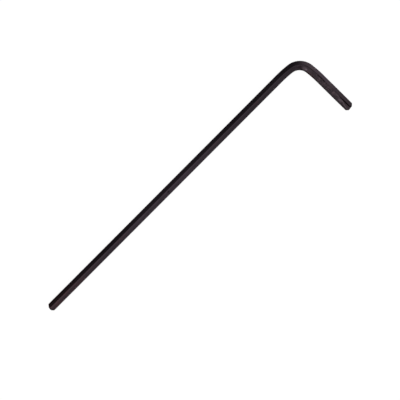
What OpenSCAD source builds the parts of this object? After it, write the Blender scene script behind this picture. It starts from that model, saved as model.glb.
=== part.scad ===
// Hex key: one length of hexagonal steel bar, chamfered at both tips and bent at a right angle.
// It lies on its lower corners, with the bend at the +X end and the short arm along -Y.

/* [Bar] */
// Width across the flats of the hexagonal bar
across_flats = 1.984; // [1.5:0.001:2.5]
// Depth that rolling takes off each of the bar's six sharp corners
corner_trim = 0.03; // [0.01:0.005:0.08]

/* [Arms] */
// Long arm, from its tip to the outer flat of the short arm
long_arm = 83.3; // [50:0.1:120]
// Short arm, from its tip to the outer flat of the long arm
short_arm = 17.4; // [17:0.1:40]

/* [Bend] */
// Radius of the bend, to the middle of the bar
bend_r = 4.25; // [2.5:0.05:4.7]

/* [Tips] */
// Diameter of the flat face left at each tip
tip_face_d = 1.2; // [0.6:0.05:1.4]
// Angle between each tip's chamfer cone and the bar
chamfer_angle = 45; // [30:1:60]

/* [Stamped panel] */
// Length of the panel pressed into the short arm's upper inner face
panel_length = 8.4; // [2:0.1:8.8]
// Distance from the short arm's tip to the panel
panel_to_tip = 3.3; // [1:0.1:3.7]
// Depth of the panel at its middle
panel_depth = 0.05; // [0.02:0.005:0.1]

/* [Hidden] */
$fn = 96;

half_flats = across_flats / 2;
sharp_corner = half_flats / cos(30);
// Height of the rolled corners above the middle of the bar
half_corners = sharp_corner - corner_trim;
// Middle of the bend, from the two outer flats that the arms are measured to
bend_inset = bend_r + half_flats;

// Section of the bar: corners up and down, flats to the left and right, and every corner rolled round
module bar_section() {
    intersection() {
        rotate(30) circle(r = sharp_corner, $fn = 6);
        circle(r = half_corners);
    }
}

// Straight arm that leaves the bend at the origin and runs up +Z to its chamfered tip
module arm(length) {
    margin = 1;
    cone_h = length + margin;
    tip_r = tip_face_d / 2;
    intersection() {
        linear_extrude(height = length) bar_section();
        translate([0, 0, -margin])
            cylinder(h = cone_h, r1 = tip_r + cone_h * tan(chamfer_angle), r2 = tip_r);
    }
}

// Large round die that presses the panel, on the arm's inner face that looks up
module panel_die(length) {
    half_panel = panel_length / 2;
    die_r = (half_panel * half_panel / panel_depth + panel_depth) / 2;
    rotate([0, 0, 120])
        translate([half_flats - panel_depth + die_r, 0, length - panel_to_tip - half_panel])
            rotate([90, 0, 0])
                cylinder(h = 2 * across_flats, r = die_r, center = true, $fn = 720);
}

// The bent bar, made round the middle of its bend and then moved to the middle of its footprint
module hex_key() {
    color([0.17, 0.15, 0.16])
        translate([long_arm / 2 - bend_inset, short_arm / 2 - bend_inset, half_corners]) {
            rotate_extrude(angle = 90)
                translate([bend_r, 0]) bar_section();
            translate([0, bend_r, 0])
                rotate([90, 0, -90]) arm(long_arm - bend_inset);
            translate([bend_r, 0, 0])
                rotate([90, 0, 0])
                    difference() {
                        arm(short_arm - bend_inset);
                        panel_die(short_arm - bend_inset);
                    }
        }
}

hex_key();
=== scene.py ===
import math

import bpy
from mathutils import Euler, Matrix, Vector


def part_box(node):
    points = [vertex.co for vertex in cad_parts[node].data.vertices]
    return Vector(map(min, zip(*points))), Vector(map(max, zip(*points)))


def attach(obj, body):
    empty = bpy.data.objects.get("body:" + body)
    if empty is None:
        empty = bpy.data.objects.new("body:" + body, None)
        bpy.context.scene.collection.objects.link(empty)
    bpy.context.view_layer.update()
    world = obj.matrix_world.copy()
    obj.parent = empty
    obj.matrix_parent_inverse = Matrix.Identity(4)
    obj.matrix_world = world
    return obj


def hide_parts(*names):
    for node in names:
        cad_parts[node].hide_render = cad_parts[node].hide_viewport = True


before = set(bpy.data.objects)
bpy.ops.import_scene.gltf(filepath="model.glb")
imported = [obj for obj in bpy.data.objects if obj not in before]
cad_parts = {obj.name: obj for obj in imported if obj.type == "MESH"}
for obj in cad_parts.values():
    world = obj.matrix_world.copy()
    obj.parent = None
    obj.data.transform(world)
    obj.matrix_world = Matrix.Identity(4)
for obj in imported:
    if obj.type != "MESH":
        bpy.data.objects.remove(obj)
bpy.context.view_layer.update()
scene = bpy.context.scene

# The view: straight down on the key as it lies, from 150 mm above the table. The long arm runs up
# and to the right. The camera stands near the middle of the key, so it shows a little more of the
# short arm's inner face than of its outer one.
MM = 0.001
PHOTO_PX = 400
FOCAL_PX = 641
CAMERA_AT = (6.138, -3.338, 150.0)
CAMERA_TURN = (-0.20, 2.461, -44.99)
CLIP_START = 10

camera = bpy.data.objects.new("camera", bpy.data.cameras.new("camera"))
camera.data.lens = camera.data.sensor_width * FOCAL_PX / PHOTO_PX
camera.data.clip_start = CLIP_START * MM
camera.location = Vector(CAMERA_AT) * MM
camera.rotation_euler = Euler([math.radians(turn) for turn in CAMERA_TURN])
scene.collection.objects.link(camera)
scene.camera = camera


# The bar: one length of drawn hexagonal tool steel, 5/64 in across its flats, with rolled corners.
# It is cut to length, chamfered by a cone at both tips, bent cold round a former, stamped on the
# short arm, hardened and tempered, and then blackened in hot oxide salts. Sizes are in mm.
ACROSS_FLATS = 1.984
CORNER_R = 0.194
BEND_R = 3.52
LEAD_R = 28.0
LEAD_TURN = math.radians(6.84)
TIP_FACE_R = 0.6
CHAMFER_SOFTNESS = 0.02
LONG_CUT_SLOPE = 0.07
SHORT_CUT_SLOPE = 0.08
CUT_LENGTH = 2.0
PANEL_LENGTH = 8.4
PANEL_TO_TIP = 3.3
PANEL_DEPTH = 0.05
PANEL_LEAN = 2.0
PANEL_CURVE = 1.4
WORN_LENGTH = 3.4
WORN_CORNER_R = 1.075
WORN_RISE = 0.042

low, high = (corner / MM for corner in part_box("hex_key"))
half_flats = ACROSS_FLATS / 2
corner_x, corner_y = high.x - half_flats, high.y - half_flats
bar_z = (low.z + high.z) / 2

# Slack curves ease the bar into its bend, and leave each arm this far from the arms' corner
bend_centre = LEAD_R - (LEAD_R - BEND_R) * math.cos(LEAD_TURN)
setback = bend_centre + (LEAD_R - BEND_R) * math.sin(LEAD_TURN)

# Lengths along the middle line, from the long tip, at which the bar starts and stops curving
lead_in = corner_x - low.x - setback
bend_in = lead_in + LEAD_R * LEAD_TURN
bend_out = bend_in + BEND_R * (math.pi / 2 - 2 * LEAD_TURN)
lead_out = bend_out + LEAD_R * LEAD_TURN
bar_length = lead_out + corner_y - low.y - setback
panel_end = bar_length - PANEL_TO_TIP
panel_start = panel_end - PANEL_LENGTH
panel_middle = (panel_start + panel_end) / 2


def on_arc(centre_x, centre_y, radius, angle):
    """Point of the middle line on a curve that turns clockwise, with the angle from +X."""
    return Vector((centre_x + radius * math.cos(angle), centre_y + radius * math.sin(angle), bar_z))


def middle_line(along):
    """Point of the bar's middle line at a length from the long tip."""
    if along < lead_in:
        return Vector((low.x + along, corner_y, bar_z))
    if along < bend_in:
        turned = (along - lead_in) / LEAD_R
        return on_arc(corner_x - setback, corner_y - LEAD_R, LEAD_R, math.pi / 2 - turned)
    if along < bend_out:
        turned = LEAD_TURN + (along - bend_in) / BEND_R
        return on_arc(corner_x - bend_centre, corner_y - bend_centre, BEND_R, math.pi / 2 - turned)
    if along < lead_out:
        return on_arc(corner_x - LEAD_R, corner_y - setback, LEAD_R, (lead_out - along) / LEAD_R)
    return Vector((corner_x, corner_y - setback - (along - lead_out), bar_z))


# Rings lie closer where the shape has detail: at the tips, round the bend and on the panel. Each
# stretch has the length at which it stops, and the step between its rings.
TIP_STRETCH = 0.7
RING_STEPS = [
    (TIP_STRETCH, 0.035), (lead_in, 0.6), (lead_out, 0.15), (panel_start, 0.2),
    (panel_end, 0.045), (bar_length - TIP_STRETCH, 0.2), (bar_length, 0.035),
]
rings = [0.0]
for stop, step in RING_STEPS:
    start = rings[-1]
    count = math.ceil((stop - start) / step)
    rings += [start + (stop - start) * (i + 1) / count for i in range(count)]

# Rounded hexagon with corners up and down. Its +X lies towards the inside of the bend, and its
# points are closer set on the face that looks up and inwards.
STAMPED_FACE = 1
FACE_COLUMNS = 5
STAMPED_COLUMNS = 24
CORNER_COLUMNS = 6
FACE_TURN = math.radians(60)
sharp_corner = half_flats / math.cos(FACE_TURN / 2)
corner_centre = sharp_corner - CORNER_R / math.cos(FACE_TURN / 2)
half_face = sharp_corner / 2 - CORNER_R * math.tan(FACE_TURN / 2)
section_points = []
for face in range(6):
    normal = Vector((math.cos(FACE_TURN * face), math.sin(FACE_TURN * face), 0))
    columns = STAMPED_COLUMNS if face == STAMPED_FACE else FACE_COLUMNS
    for i in range(columns + 1):
        aside = half_face * (2 * i / columns - 1)
        section_points.append(normal * half_flats + Vector((-normal.y, normal.x, 0)) * aside)
    corner = FACE_TURN * (face + 0.5)
    for i in range(1, CORNER_COLUMNS):
        turn = FACE_TURN * (face + i / CORNER_COLUMNS)
        middle = Vector((math.cos(corner), math.sin(corner), 0)) * corner_centre
        section_points.append(middle + Vector((math.cos(turn), math.sin(turn), 0)) * CORNER_R)

# The key's nominal size in inches, stamped along the panel. Each stroke joins points on a grid of
# two by four steps that stands on the line of writing, and its bottom lies towards the inner side.
DIGIT_HEIGHT = 0.84
DIGIT_PITCH = 1.5
DIGIT_STEPS = 4
STROKE_HALF = 0.16
STROKE_DEPTH = 0.03
SIZE_MARKS = [
    [(2, 4), (0, 4), (0, 2.3), (1.3, 2.4), (2, 1.6), (2, 0.8), (1.3, 0), (0, 0.2)],
    [(0, -0.3), (2, 4.3)],
    [(1.8, 4), (0.7, 3.5), (0, 2), (0, 0.8), (0.7, 0), (1.5, 0), (2, 0.8), (2, 1.6), (1.4, 2.3), (0, 2)],
    [(1.5, 0), (1.5, 4), (0, 1.4), (2, 1.4)],
]
face_turn = FACE_TURN * STAMPED_FACE
face_out = Vector((-math.cos(face_turn), 0, math.sin(face_turn)))
face_up = Vector((math.sin(face_turn), 0, math.cos(face_turn)))
face_middle = Vector((corner_x, 0, bar_z)) + face_out * half_flats
stroke_points, stroke_edges = [], []
for i, strokes in enumerate(SIZE_MARKS):
    mark_at = panel_middle + (i - (len(SIZE_MARKS) - 1) / 2) * DIGIT_PITCH
    for j, (right, up) in enumerate(strokes):
        along = mark_at + (right - 1) * DIGIT_HEIGHT / DIGIT_STEPS
        place = face_middle + face_up * (up / DIGIT_STEPS - 0.5) * DIGIT_HEIGHT
        stroke_points.append((place.x, middle_line(along).y, place.z))
        if j:
            stroke_edges.append((len(stroke_points) - 2, len(stroke_points) - 1))


def wire_object(name, points, edges):
    """Mesh of edges through points in mm, linked so that a modifier on it is evaluated."""
    data = bpy.data.meshes.new(name)
    data.from_pydata([Vector(point) * MM for point in points], edges, [])
    made = bpy.data.objects.new(name, data)
    scene.collection.objects.link(made)
    return made


path_edges = [(i, i + 1) for i in range(len(rings) - 1)]
section_edges = [(i, (i + 1) % len(section_points)) for i in range(len(section_points))]
path = wire_object("bar_path", [middle_line(along) for along in rings], path_edges)
section = wire_object("bar_section", section_points, section_edges)
marks = wire_object("size_marks", stroke_points, stroke_edges)

# Each ring knows its length along the bar, how far out its corners reach inside the chamfer cones
# and the wear of the short tip, and how it leans where the tips were cut out of square
NO_LIMIT = 10.0


def corner_limit(along):
    """Widest radius of the bar at a length along it: chamfered at both tips, and worn at the short one."""
    to_tip = bar_length - along
    worn = WORN_CORNER_R + WORN_RISE * to_tip / WORN_LENGTH
    return min(TIP_FACE_R + along, TIP_FACE_R + to_tip, worn if to_tip < WORN_LENGTH else NO_LIMIT)


def cut_lean(along):
    """How far a ring leans with each step towards the inner side, as the tips were cut out of square."""
    to_tip = bar_length - along
    long_lean = LONG_CUT_SLOPE * max(0, 1 - along / CUT_LENGTH)
    short_lean = SHORT_CUT_SLOPE * max(0, 1 - to_tip / CUT_LENGTH)
    return (-long_lean, -short_lean, 0)


for name, of_ring in (("along", lambda along: along), ("cone", corner_limit)):
    stored = path.data.attributes.new(name, "FLOAT", "POINT")
    stored.data.foreach_set("value", [of_ring(along) * MM for along in rings])
stored = path.data.attributes.new("lean", "FLOAT_VECTOR", "POINT")
stored.data.foreach_set("vector", [part for along in rings for part in cut_lean(along)])


def add(tree, kind, links=None, **settings):
    """Adds a node with its settings, and links or sets the inputs named or numbered in links."""
    made = tree.nodes.new(kind)
    for name, value in settings.items():
        setattr(made, name, value)
    for key, source in (links or {}).items():
        if isinstance(source, bpy.types.NodeSocket):
            tree.links.new(source, made.inputs[key])
        else:
            made.inputs[key].default_value = source
    return made


# The sweep: the section along the path, cut back to the cones, leant at the tips, and then pressed
# by the die and the marks
SWEEP_INPUTS = {
    "Section": "NodeSocketObject",
    "Marks": "NodeSocketObject",
    "Pressed face": "NodeSocketVector",
    "Chamfer softness": "NodeSocketFloat",
    "Half flats": "NodeSocketFloat",
    "Panel middle": "NodeSocketFloat",
    "Panel half length": "NodeSocketFloat",
    "Panel depth": "NodeSocketFloat",
    "Panel lean": "NodeSocketFloat",
    "Panel curve": "NodeSocketFloat",
    "Stroke half width": "NodeSocketFloat",
    "Stroke depth": "NodeSocketFloat",
    "Steel": "NodeSocketMaterial",
}
tree = bpy.data.node_groups.new("hexagonal_bar", "GeometryNodeTree")
tree.is_modifier = True
tree.interface.new_socket("Geometry", in_out="INPUT", socket_type="NodeSocketGeometry")
for name, socket_type in SWEEP_INPUTS.items():
    tree.interface.new_socket(name, in_out="INPUT", socket_type=socket_type)
tree.interface.new_socket("Geometry", in_out="OUTPUT", socket_type="NodeSocketGeometry")

given = add(tree, "NodeGroupInput").outputs
place = add(tree, "GeometryNodeInputPosition").outputs[0]
path_line = add(tree, "GeometryNodeMeshToCurve", {"Mesh": given["Geometry"]}).outputs[0]
path_line = add(tree, "GeometryNodeSetCurveNormal", {"Curve": path_line}, mode="Z_UP").outputs[0]
path_line = add(tree, "GeometryNodeStoreNamedAttribute",
                {"Geometry": path_line, "Name": "middle", "Value": place},
                data_type="FLOAT_VECTOR").outputs[0]
section_mesh = add(tree, "GeometryNodeObjectInfo", {"Object": given["Section"]}).outputs["Geometry"]
section_line = add(tree, "GeometryNodeMeshToCurve", {"Mesh": section_mesh}).outputs[0]
section_line = add(tree, "GeometryNodeStoreNamedAttribute",
                   {"Geometry": section_line, "Name": "across", "Value": place},
                   data_type="FLOAT_VECTOR").outputs[0]
swept = add(tree, "GeometryNodeCurveToMesh",
            {"Curve": path_line, "Profile Curve": section_line, "Fill Caps": True}).outputs[0]

along = add(tree, "GeometryNodeInputNamedAttribute", {"Name": "along"}).outputs[0]
cone = add(tree, "GeometryNodeInputNamedAttribute", {"Name": "cone"}).outputs[0]
middle = add(tree, "GeometryNodeInputNamedAttribute", {"Name": "middle"},
             data_type="FLOAT_VECTOR").outputs[0]
across = add(tree, "GeometryNodeInputNamedAttribute", {"Name": "across"},
             data_type="FLOAT_VECTOR").outputs[0]

section_part = add(tree, "ShaderNodeSeparateXYZ", {0: across}).outputs
outward = add(tree, "ShaderNodeVectorMath", {0: place, 1: middle}, operation="SUBTRACT").outputs[0]
radius = add(tree, "ShaderNodeVectorMath", {0: outward}, operation="LENGTH").outputs["Value"]
inside = add(tree, "ShaderNodeMath", {0: radius, 1: cone, 2: given["Chamfer softness"]},
             operation="SMOOTH_MIN").outputs[0]
share = add(tree, "ShaderNodeMath", {0: inside, 1: radius}, operation="DIVIDE").outputs[0]
kept = add(tree, "ShaderNodeVectorMath", {0: outward, "Scale": share}, operation="SCALE").outputs[0]
kept_place = add(tree, "ShaderNodeVectorMath", {0: kept, 1: middle}, operation="ADD").outputs[0]
chamfered = add(tree, "GeometryNodeSetPosition", {"Geometry": swept, "Position": kept_place}).outputs[0]

# Both tips were cut a little out of square, longer on the inner side
lean = add(tree, "GeometryNodeInputNamedAttribute", {"Name": "lean"},
           data_type="FLOAT_VECTOR").outputs[0]
cut_by = add(tree, "ShaderNodeVectorMath", {0: lean, "Scale": section_part[0]},
             operation="SCALE").outputs[0]
chamfered = add(tree, "GeometryNodeSetPosition", {"Geometry": chamfered, "Offset": cut_by}).outputs[0]

# The panel: its die is deepest in the middle, and rises with a power of the distance from there. Its
# end near the tip leans, and runs out along a curve that comes nearer to the tip the further it is
# down the face.
DIE_POWER = 4.0
past = add(tree, "ShaderNodeMath", {0: along, 1: given["Panel middle"]},
           operation="SUBTRACT").outputs[0]
tip_side = add(tree, "ShaderNodeMath", {0: past, 1: 0.0}, operation="GREATER_THAN").outputs[0]
slant = add(tree, "ShaderNodeMath", {0: section_part[0], 1: given["Panel curve"], 2: given["Panel lean"]},
            operation="MULTIPLY_ADD").outputs[0]
slant = add(tree, "ShaderNodeMath", {0: slant, 1: section_part[0]}, operation="MULTIPLY").outputs[0]
reach = add(tree, "ShaderNodeMath", {0: slant, 1: tip_side, 2: given["Panel half length"]},
            operation="MULTIPLY_ADD").outputs[0]
panel_share = add(tree, "ShaderNodeMath", {0: past, 1: reach}, operation="DIVIDE").outputs[0]
steep = add(tree, "ShaderNodeMath", {0: panel_share, 1: DIE_POWER}, operation="POWER").outputs[0]
steep = add(tree, "ShaderNodeMath", {0: 1.0, 1: steep}, operation="SUBTRACT").outputs[0]
die = add(tree, "ShaderNodeMath", {0: steep, 1: given["Panel depth"]}, operation="MULTIPLY").outputs[0]
height = add(tree, "ShaderNodeVectorMath", {0: outward, 1: given["Pressed face"]},
             operation="DOT_PRODUCT").outputs["Value"]
below_face = add(tree, "ShaderNodeMath", {0: given["Half flats"], 1: height},
                 operation="SUBTRACT").outputs[0]
sunk = add(tree, "ShaderNodeMath", {0: die, 1: below_face}, operation="SUBTRACT").outputs[0]
sunk = add(tree, "ShaderNodeMath", {0: sunk, 1: 0.0}, operation="MAXIMUM").outputs[0]
mark_mesh = add(tree, "GeometryNodeObjectInfo", {"Object": given["Marks"]}).outputs["Geometry"]
to_mark = add(tree, "GeometryNodeProximity", {0: mark_mesh}, target_element="EDGES").outputs["Distance"]
struck = add(tree, "ShaderNodeMapRange",
             {"Value": to_mark, 1: 0.0, 2: given["Stroke half width"], 3: given["Stroke depth"], 4: 0.0},
             interpolation_type="SMOOTHSTEP").outputs[0]
marked = chamfered
for name, value in (("sunk", sunk), ("struck", struck), ("panel_share", panel_share)):
    marked = add(tree, "GeometryNodeStoreNamedAttribute",
                 {"Geometry": marked, "Name": name, "Value": value}).outputs[0]
down = add(tree, "ShaderNodeMath", {0: sunk, 1: struck}, operation="ADD").outputs[0]
inwards = add(tree, "ShaderNodeMath", {0: down, 1: -1.0}, operation="MULTIPLY").outputs[0]
pressed_by = add(tree, "ShaderNodeVectorMath", {0: given["Pressed face"], "Scale": inwards},
                 operation="SCALE").outputs[0]
pressed = add(tree, "GeometryNodeSetPosition", {"Geometry": marked, "Offset": pressed_by}).outputs[0]

# The bar's own straightened coordinates, which the finish follows round the bend: along it, towards
# its inner side, and up
bar_place = add(tree, "ShaderNodeCombineXYZ",
                {0: along, 1: section_part[0], 2: section_part[1]}).outputs[0]
named = add(tree, "GeometryNodeStoreNamedAttribute",
            {"Geometry": pressed, "Name": "bar", "Value": bar_place},
            data_type="FLOAT_VECTOR").outputs[0]
for name in ("along", "cone", "lean", "middle", "across"):
    named = add(tree, "GeometryNodeRemoveAttribute", {"Geometry": named, "Name": name}).outputs[0]
smooth = add(tree, "GeometryNodeSetShadeSmooth", {"Geometry": named}).outputs[0]
real = add(tree, "GeometryNodeRealizeInstances", {"Geometry": smooth}).outputs[0]
finished = add(tree, "GeometryNodeSetMaterial", {"Geometry": real, "Material": given["Steel"]}).outputs[0]
add(tree, "NodeGroupOutput", {"Geometry": finished})


def srgb(code):
    """Linear colour of an sRGB hex code."""
    parts = [int(code[i:i + 2], 16) / 255 for i in (1, 3, 5)]
    return (*[p / 12.92 if p <= 0.04045 else ((p + 0.055) / 1.055) ** 2.4 for p in parts], 1)


# Black oxide on drawn, tempered steel: a thin dark film that still shows the metal's sheen. The
# eye sees a violet black with fine lines along the bar, cloudy where the salts worked unevenly,
# and browner at the long tip.
BLACK_OXIDE = srgb("#3A3239")
BROWN_OXIDE = srgb("#402F32")
DULL_OXIDE = srgb("#352E34")
DARK_OXIDE = srgb("#2F292E")
GREY_OXIDE = srgb("#3A3236")
STRUCK_OXIDE = srgb("#615156")
# A painted highlight for the panel's rim
RIM_HIGHLIGHT = srgb("#655A60")
# The film soaks up light at a glancing angle too, so the bar's outline stays dark on white paper
GLANCING_TINT = srgb("#959595")

steel = bpy.data.materials.new("black_oxide_on_drawn_steel")
steel.use_nodes = True
shade = steel.node_tree
metal = shade.nodes["Principled BSDF"]
metal.inputs["Metallic"].default_value = 1.0
metal.inputs["Specular Tint"].default_value = GLANCING_TINT

bar_at = add(shade, "ShaderNodeAttribute", attribute_name="bar").outputs["Vector"]
bar_xyz = add(shade, "ShaderNodeSeparateXYZ", {0: bar_at}).outputs
object_at = add(shade, "ShaderNodeTexCoord").outputs["Object"]

# The film along the bar, by length in mm from the long tip: brown at the tip, then dull, violet
# black on the middle of the long arm, darkest before the bend, and greyer on the short arm
FILM_ALONG = [
    (2, BROWN_OXIDE), (20, DULL_OXIDE), (30, BLACK_OXIDE), (44, BLACK_OXIDE),
    (54, DULL_OXIDE), (64, DARK_OXIDE), (79, DARK_OXIDE), (84, GREY_OXIDE),
]
share_along = add(shade, "ShaderNodeMapRange",
                  {0: bar_xyz[0], 1: 0.0, 2: bar_length * MM, 3: 0.0, 4: 1.0}).outputs[0]
film = add(shade, "ShaderNodeValToRGB", {0: share_along})
# A new ramp has two stops already
for i, (length, film_colour) in enumerate(FILM_ALONG):
    stop = film.color_ramp.elements[i] if i < 2 else film.color_ramp.elements.new(length / bar_length)
    stop.position, stop.color = length / bar_length, film_colour
colour = film.outputs[0]

# Clouds of duller film, about 2.2 mm long and half as wide. They start at one value of their noise
# and are full at another.
CLOUDS_PER_MM = (0.45, 0.9, 0.9)
CLOUD_STARTS, CLOUD_FULL = 0.42, 0.66
CLOUD_COVER = 0.8
clouds_at = add(shade, "ShaderNodeMapping", {0: bar_at, "Scale": [count / MM for count in CLOUDS_PER_MM]},
                vector_type="POINT").outputs[0]
clouds = add(shade, "ShaderNodeTexNoise",
             {"Vector": clouds_at, "Scale": 1.0, "Detail": 3.0, "Roughness": 0.6}).outputs[0]
cloudy = add(shade, "ShaderNodeMapRange",
             {0: clouds, 1: CLOUD_STARTS, 2: CLOUD_FULL, 3: 0.0, 4: CLOUD_COVER}).outputs[0]
colour = add(shade, "ShaderNodeMix", {0: cloudy, 6: colour, 7: DULL_OXIDE}, data_type="RGBA").outputs[2]

# Drawing lines: real ones are some 0.02 mm wide, too fine to show, so these are drawn at 0.15 mm.
# Most of a noise's values lie between the low and the high one.
LINES_PER_MM = (0.16, 6.5, 6.5)
LINE_SHADES = (0.88, 1.12)
NOISE_LOW, NOISE_HIGH = 0.3, 0.7
lines_at = add(shade, "ShaderNodeMapping", {0: bar_at, "Scale": [count / MM for count in LINES_PER_MM]},
               vector_type="POINT").outputs[0]
lines = add(shade, "ShaderNodeTexNoise", {"Vector": lines_at, "Scale": 1.0, "Detail": 2.0}).outputs[0]
line_shade = add(shade, "ShaderNodeMapRange",
                 {0: lines, 1: NOISE_LOW, 2: NOISE_HIGH, 3: LINE_SHADES[0], 4: LINE_SHADES[1]}).outputs[0]
colour = add(shade, "ShaderNodeVectorMath", {0: colour, "Scale": line_shade}, operation="SCALE").outputs[0]

# Hands rub the long arm's corners brighter, and the ridge among them takes a painted highlight too.
# Its inner face takes a painted sheen, lighter at its ridge and duller low down. Both fade out where
# the bend starts, in mm from the long tip. Corners and faces are placed in mm from the bar's middle line.
WEAR_AND_SHEEN_FADES = (74, 80)
CORNER_STARTS, CORNER_FULL, RUB_AND_HIGHLIGHT_GAIN = 1.04, 1.1, 1.4
RIDGE_ENDS, SIDE_STARTS = 0.2, 0.85
RIDGE_GAIN, SIDE_GAIN = 1.05, 0.82
on_long_arm = add(shade, "ShaderNodeMapRange",
                  {0: bar_xyz[0], 1: WEAR_AND_SHEEN_FADES[0] * MM, 2: WEAR_AND_SHEEN_FADES[1] * MM,
                   3: 1.0, 4: 0.0}).outputs[0]
section_at = add(shade, "ShaderNodeVectorMath", {0: bar_at, 1: (0, 1, 1)}, operation="MULTIPLY").outputs[0]
from_middle = add(shade, "ShaderNodeVectorMath", {0: section_at}, operation="LENGTH").outputs["Value"]
rub_and_highlight = add(shade, "ShaderNodeMapRange",
             {0: from_middle, 1: CORNER_STARTS * MM, 2: CORNER_FULL * MM, 3: 1.0, 4: RUB_AND_HIGHLIGHT_GAIN}).outputs[0]
# Painted sheen across the inner face: lighter at the ridge, darker low down
painted_ridge_sheen = add(shade, "ShaderNodeMapRange",
            {0: bar_xyz[1], 1: RIDGE_ENDS * MM, 2: SIDE_STARTS * MM,
             3: RIDGE_GAIN, 4: SIDE_GAIN}).outputs[0]
wear_and_sheen = add(shade, "ShaderNodeMath", {0: rub_and_highlight, 1: painted_ridge_sheen}, operation="MULTIPLY").outputs[0]
wear_and_sheen = add(shade, "ShaderNodeMix", {0: on_long_arm, 2: 1.0, 3: wear_and_sheen}, data_type="FLOAT").outputs[0]
colour = add(shade, "ShaderNodeVectorMath", {0: colour, "Scale": wear_and_sheen}, operation="SCALE").outputs[0]

# Painted sheen and shade on the outer faces: darker on the first third of the long arm, lighter past
# the bend, and darker again near the short tip. Places are in mm from the long tip. What is outer grows
# over a narrow fade beside the ridge.
OUTER_FADE = 0.2
SHADE_ENDS = (24, 32)
SHADE_LOSS = 0.24
SHEEN_STARTS = (82, 85)
SHEEN_FADES = (88, 93)
SHEEN_GAIN = 0.34
SHEEN_AT_TIP = -0.55
outer_face = add(shade, "ShaderNodeMapRange",
                 {0: bar_xyz[1], 1: 0.0, 2: -OUTER_FADE * MM, 3: 0.0, 4: 1.0}).outputs[0]
past_bend = add(shade, "ShaderNodeMapRange",
                {0: bar_xyz[0], 1: SHEEN_STARTS[0] * MM, 2: SHEEN_STARTS[1] * MM,
                 3: 0.0, 4: 1.0}).outputs[0]
before_tip = add(shade, "ShaderNodeMapRange",
                 {0: bar_xyz[0], 1: SHEEN_FADES[0] * MM, 2: SHEEN_FADES[1] * MM,
                  3: 1.0, 4: SHEEN_AT_TIP}).outputs[0]
painted_sheen = add(shade, "ShaderNodeMath", {0: outer_face, 1: past_bend}, operation="MULTIPLY").outputs[0]
painted_sheen = add(shade, "ShaderNodeMath", {0: painted_sheen, 1: before_tip}, operation="MULTIPLY").outputs[0]
from_tip = add(shade, "ShaderNodeMapRange",
               {0: bar_xyz[0], 1: SHADE_ENDS[0] * MM, 2: SHADE_ENDS[1] * MM,
                3: -SHADE_LOSS, 4: 0.0}).outputs[0]
painted_outer_shade = add(shade, "ShaderNodeMath", {0: outer_face, 1: from_tip, 2: 1.0},
           operation="MULTIPLY_ADD").outputs[0]
painted_sheen = add(shade, "ShaderNodeMath", {0: painted_sheen, 1: SHEEN_GAIN, 2: painted_outer_shade},
            operation="MULTIPLY_ADD").outputs[0]
colour = add(shade, "ShaderNodeVectorMath", {0: colour, "Scale": painted_sheen}, operation="SCALE").outputs[0]

# The die leaves the panel grainy: its real grain is some 0.1 mm, drawn at 0.33 mm so that it shows
GRAINS_PER_MM = (3, 3, 3)
GRAIN_SHADES = (0.48, 1.42)
sunk_at = add(shade, "ShaderNodeAttribute", attribute_name="sunk").outputs["Fac"]
in_panel = add(shade, "ShaderNodeMapRange",
               {0: sunk_at, 1: 0.0, 2: PANEL_DEPTH * MM / 2, 3: 0.0, 4: 1.0}).outputs[0]
grain_at = add(shade, "ShaderNodeMapping", {0: bar_at, "Scale": [count / MM for count in GRAINS_PER_MM]},
               vector_type="POINT").outputs[0]
grain = add(shade, "ShaderNodeTexNoise", {"Vector": grain_at, "Scale": 1.0, "Detail": 2.0}).outputs[0]
grainy = add(shade, "ShaderNodeMapRange",
             {0: grain, 1: NOISE_LOW, 2: NOISE_HIGH, 3: GRAIN_SHADES[0], 4: GRAIN_SHADES[1]}).outputs[0]
grain_shade = add(shade, "ShaderNodeMix", {0: in_panel, 2: 1.0, 3: grainy}, data_type="FLOAT").outputs[0]
colour = add(shade, "ShaderNodeVectorMath", {0: colour, "Scale": grain_shade},
             operation="SCALE").outputs[0]

# The panel's rim near the tip takes a painted highlight, on the bar's inner side only. The rim is where
# the panel's share of its half length is 1, so the lower inner face takes a faint line too.
RIM_CORE, RIM_FADES = 0.01, 0.05
RIM_COVER = 0.7
INNER_STARTS, INNER_FULL = 0.02, 0.1
panel_share_at = add(shade, "ShaderNodeAttribute", attribute_name="panel_share").outputs["Fac"]
from_rim = add(shade, "ShaderNodeMath", {0: panel_share_at, 1: 1.0}, operation="SUBTRACT").outputs[0]
from_rim = add(shade, "ShaderNodeMath", {0: from_rim}, operation="ABSOLUTE").outputs[0]
at_rim = add(shade, "ShaderNodeMapRange",
             {0: from_rim, 1: RIM_CORE, 2: RIM_FADES, 3: RIM_COVER, 4: 0.0}).outputs[0]
inner_face = add(shade, "ShaderNodeMapRange",
                 {0: bar_xyz[1], 1: INNER_STARTS * MM, 2: INNER_FULL * MM, 3: 0.0, 4: 1.0}).outputs[0]
at_rim = add(shade, "ShaderNodeMath", {0: at_rim, 1: inner_face}, operation="MULTIPLY").outputs[0]
colour = add(shade, "ShaderNodeMix", {0: at_rim, 6: colour, 7: RIM_HIGHLIGHT}, data_type="RGBA").outputs[2]

# The struck size numbers hold a thinner, browner film
STRUCK_COVER = 0.5
struck_at = add(shade, "ShaderNodeAttribute", attribute_name="struck").outputs["Fac"]
in_strokes = add(shade, "ShaderNodeMapRange",
                 {0: struck_at, 1: 0.0, 2: STROKE_DEPTH * MM, 3: 0.0, 4: STRUCK_COVER}).outputs[0]
colour = add(shade, "ShaderNodeMix", {0: in_strokes, 6: colour, 7: STRUCK_OXIDE},
             data_type="RGBA").outputs[2]
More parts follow.
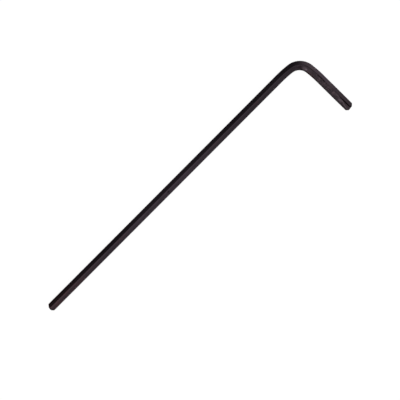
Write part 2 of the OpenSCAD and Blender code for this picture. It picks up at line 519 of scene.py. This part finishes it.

# Marks, stains, painted highlights and painted shade: place and half sizes in mm, colour, how much of
# it shows, and how much of the half sizes its edge takes. The grain breaks up every edge.
EDGE_BREAK = 0.5
SPOT_REACH = 1.1
SPOTS = [
    # Painted highlight and painted shade inside the bend
    ((39.65, 4.95, 1.7), (0.4, 0.8, 0.8), srgb("#5A4C52"), 0.4, 0.6),
    ((39.75, 4.72, 1.7), (0.25, 0.3, 0.5), srgb("#857C84"), 0.3, 0.6),
    ((37.7, 7.15, 1.8), (2.2, 0.8, 0.6), srgb("#292327"), 0.75, 0.7),
    ((39.2, 6.2, 1.85), (0.9, 0.7, 0.5), srgb("#21191D"), 0.85, 0.7),
    # Dark and light patches on the short arm, from the bend to the panel's end
    ((40.2, 3.0, 1.8), (0.5, 0.6, 0.6), srgb("#2E262A"), 0.6, 0.8),
    # Painted shade along the ridge
    ((40.65, 0.9, 2.2), (0.2, 1.7, 0.4), srgb("#181215"), 0.7, 0.5),
    ((40.1, -1.8, 1.95), (0.4, 0.55, 0.4), srgb("#2E262A"), 0.55, 0.7),
    ((40.42, -4.4, 2.1), (0.2, 0.6, 0.3), srgb("#6A5E66"), 0.15, 0.7),
    # Painted highlight at the panel's end, on the inner face
    ((40.1, -5.7, 1.95), (0.35, 0.6, 0.4), srgb("#6E6268"), 0.35, 0.7),
    # Painted shade along the worn ridge, and a dark corner at the short tip
    ((40.57, -6.8, 2.2), (0.2, 1.95, 0.4), srgb("#0C080A"), 0.85, 0.45),
    ((41.2, -8.5, 1.6), (0.55, 0.3, 0.6), srgb("#120D10"), 0.8, 0.6),
    # Brown stain on the short arm's inner flat
    ((39.6, 3.2, 1.1), (0.4, 1.4, 0.7), srgb("#4E342C"), 0.8, 0.7),
    # Painted shade of a nick on the long arm, and browner patches along it
    ((-2.55, 7.3, 2.0), (0.32, 0.25, 0.4), srgb("#120E10"), 0.65, 0.6),
    ((-17.9, 7.4, 2.1), (2.6, 0.4, 0.5), BROWN_OXIDE, 0.4, 0.8),
    ((13.2, 7.4, 2.1), (2.4, 0.4, 0.5), BROWN_OXIDE, 0.25, 0.8),
    ((26.3, 7.4, 2.1), (1.4, 0.3, 0.4), BROWN_OXIDE, 0.35, 0.8),
]
broken = add(shade, "ShaderNodeMapRange",
             {0: grain, 1: NOISE_LOW, 2: NOISE_HIGH, 3: -EDGE_BREAK, 4: EDGE_BREAK}).outputs[0]
for place_mm, size_mm, spot_colour, strength, edge in SPOTS:
    away = add(shade, "ShaderNodeVectorMath", {0: object_at, 1: Vector(place_mm) * MM},
               operation="SUBTRACT").outputs[0]
    in_sizes = add(shade, "ShaderNodeVectorMath", {0: away, 1: Vector(size_mm) * MM},
                   operation="DIVIDE").outputs[0]
    reach = add(shade, "ShaderNodeVectorMath", {0: in_sizes}, operation="LENGTH").outputs["Value"]
    reach = add(shade, "ShaderNodeMath", {0: broken, 1: edge, 2: reach},
                operation="MULTIPLY_ADD").outputs[0]
    within = add(shade, "ShaderNodeMapRange",
                 {0: reach, 1: SPOT_REACH - edge, 2: SPOT_REACH, 3: strength, 4: 0.0},
                 interpolation_type="SMOOTHSTEP").outputs[0]
    colour = add(shade, "ShaderNodeMix", {0: within, 6: colour, 7: spot_colour},
                 data_type="RGBA").outputs[2]
shade.links.new(colour, metal.inputs["Base Color"])

# The film is semi-matt, and rougher where it is cloudy. Lines and clouds stand a little proud.
ROUGHNESS = (0.26, 0.36)
CLOUD_RELIEF = 0.4
RELIEF_STRENGTH = 0.5
RELIEF_HEIGHT = 0.02
rough = add(shade, "ShaderNodeMapRange",
            {0: clouds, 1: NOISE_LOW, 2: NOISE_HIGH, 3: ROUGHNESS[0], 4: ROUGHNESS[1]}).outputs[0]
shade.links.new(rough, metal.inputs["Roughness"])
relief = add(shade, "ShaderNodeMix", {0: CLOUD_RELIEF, 2: lines, 3: clouds}, data_type="FLOAT").outputs[0]
bumped = add(shade, "ShaderNodeBump",
             {"Strength": RELIEF_STRENGTH, "Distance": RELIEF_HEIGHT * MM, "Height": relief}).outputs[0]
shade.links.new(bumped, metal.inputs["Normal"])

sweep = path.modifiers.new("hexagonal_bar", "NODES")
sweep.node_group = tree
values = {
    "Section": section,
    "Marks": marks,
    "Pressed face": face_out,
    "Chamfer softness": CHAMFER_SOFTNESS * MM,
    "Half flats": half_flats * MM,
    "Panel middle": panel_middle * MM,
    "Panel half length": PANEL_LENGTH / 2 * MM,
    "Panel depth": PANEL_DEPTH * MM,
    "Panel lean": PANEL_LEAN,
    "Panel curve": PANEL_CURVE / MM,
    "Stroke half width": STROKE_HALF * MM,
    "Stroke depth": STROKE_DEPTH * MM,
    "Steel": steel,
}
for socket in tree.interface.items_tree:
    if socket.in_out == "INPUT" and socket.name in values:
        sweep[socket.identifier] = values[socket.name]
bpy.context.view_layer.update()
swept_bar = path.evaluated_get(bpy.context.evaluated_depsgraph_get())
bar = bpy.data.objects.new("bent_bar", bpy.data.meshes.new_from_object(swept_bar))
scene.collection.objects.link(bar)
for helper in (path, section, marks):
    bpy.data.objects.remove(helper)
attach(bar, "root")
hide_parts("hex_key")


# The studio: a metre of white paper in a white surround, with three soft boxes over it. The side
# that the long arm's outer face looks at stays dark. The surround is white to the camera, and low
# down in the metal's reflections too. The paper still takes a faint shadow. Sizes are in metres.
FLOOR_HALF = 0.5
# What the camera sees of the paper is 84 percent glow, and the light on the rest makes it white
PAPER_GLOW = 0.84
GLOW_LEVEL = 1.12
ROOM_LIGHT = 0.2
SWEEP_FADES = math.sin(math.radians(4))
SWEEP_ENDS = math.sin(math.radians(12))
LAMP_AWAY = 0.6
# Each lamp has its bearing and its height above the horizon in degrees, its two sides, and its radiance
LAMPS = [
    ("lamp_long_inner", -90, 48, 0.80, 0.64, 0.92),
    ("lamp_short_inner", 188, 41, 0.70, 0.32, 1.08),
    ("lamp_short_outer", 0, 30, 0.80, 0.52, 1.08),
]

floor_corners = [(-FLOOR_HALF, -FLOOR_HALF, 0), (FLOOR_HALF, -FLOOR_HALF, 0),
                 (FLOOR_HALF, FLOOR_HALF, 0), (-FLOOR_HALF, FLOOR_HALF, 0)]
floor_mesh = bpy.data.meshes.new("floor")
floor_mesh.from_pydata(floor_corners, [], [(0, 1, 2, 3)])
floor = bpy.data.objects.new("floor", floor_mesh)
scene.collection.objects.link(floor)

# Uncoated white paper, pressed matt: the eye sees an even white with no gloss
paper = bpy.data.materials.new("matt_white_paper")
paper.use_nodes = True
paper_tree = paper.node_tree
paper_surface = paper_tree.nodes["Principled BSDF"]
paper_surface.inputs["Base Color"].default_value = srgb("#F2F2F2")
paper_surface.inputs["Roughness"].default_value = 0.9
paper_rays = add(paper_tree, "ShaderNodeLightPath").outputs
seen = add(paper_tree, "ShaderNodeMath",
           {0: paper_rays["Is Camera Ray"], 1: paper_rays["Is Glossy Ray"]},
           operation="MAXIMUM").outputs[0]
seen = add(paper_tree, "ShaderNodeMath", {0: seen, 1: paper_rays["Is Transmission Ray"]},
           operation="MAXIMUM").outputs[0]
glow = add(paper_tree, "ShaderNodeEmission", {"Color": srgb("#FFFFFF"), "Strength": GLOW_LEVEL}).outputs[0]
glow_share = add(paper_tree, "ShaderNodeMath", {0: seen, 1: PAPER_GLOW}, operation="MULTIPLY").outputs[0]
white = add(paper_tree, "ShaderNodeMixShader",
            {0: glow_share, 1: paper_surface.outputs[0], 2: glow}).outputs[0]
paper_tree.links.new(white, paper_tree.nodes["Material Output"].inputs[0])
floor.data.materials.append(paper)

world = bpy.data.worlds.new("studio")
world.use_nodes = True
room = world.node_tree
sky = room.nodes["Background"]
sky.inputs["Color"].default_value = srgb("#FFFFFF")
room_rays = add(room, "ShaderNodeLightPath").outputs
mirrored = add(room, "ShaderNodeMath",
               {0: room_rays["Is Glossy Ray"], 1: room_rays["Is Transmission Ray"]},
               operation="MAXIMUM").outputs[0]
towards = add(room, "ShaderNodeTexCoord").outputs["Generated"]
rise = add(room, "ShaderNodeSeparateXYZ", {0: towards}).outputs[2]
in_sweep = add(room, "ShaderNodeMapRange",
               {"Value": rise, 1: SWEEP_FADES, 2: SWEEP_ENDS, 3: 1.0, 4: 0.0},
               interpolation_type="SMOOTHSTEP").outputs[0]
mirrored = add(room, "ShaderNodeMath", {0: mirrored, 1: in_sweep}, operation="MULTIPLY").outputs[0]
shown = add(room, "ShaderNodeMath", {0: mirrored, 1: room_rays["Is Camera Ray"]},
            operation="MAXIMUM").outputs[0]
level = add(room, "ShaderNodeMapRange", {0: shown, 1: 0.0, 2: 1.0, 3: ROOM_LIGHT, 4: 1.0}).outputs[0]
room.links.new(level, sky.inputs["Strength"])
scene.world = world

for name, bearing, elevation, width, height, radiance in LAMPS:
    lamp = bpy.data.lights.new(name, "AREA")
    lamp.shape = "RECTANGLE"
    lamp.size, lamp.size_y = width, height
    lamp.energy = radiance * math.pi * width * height
    soft_box = bpy.data.objects.new(name, lamp)
    turn, lift = math.radians(bearing), math.radians(elevation)
    towards_lamp = (math.cos(turn) * math.cos(lift), math.sin(turn) * math.cos(lift), math.sin(lift))
    soft_box.location = Vector(towards_lamp) * LAMP_AWAY
    soft_box.rotation_euler = soft_box.location.to_track_quat("Z", "Y").to_euler()
    scene.collection.objects.link(soft_box)

scene.view_settings.view_transform = "Standard"
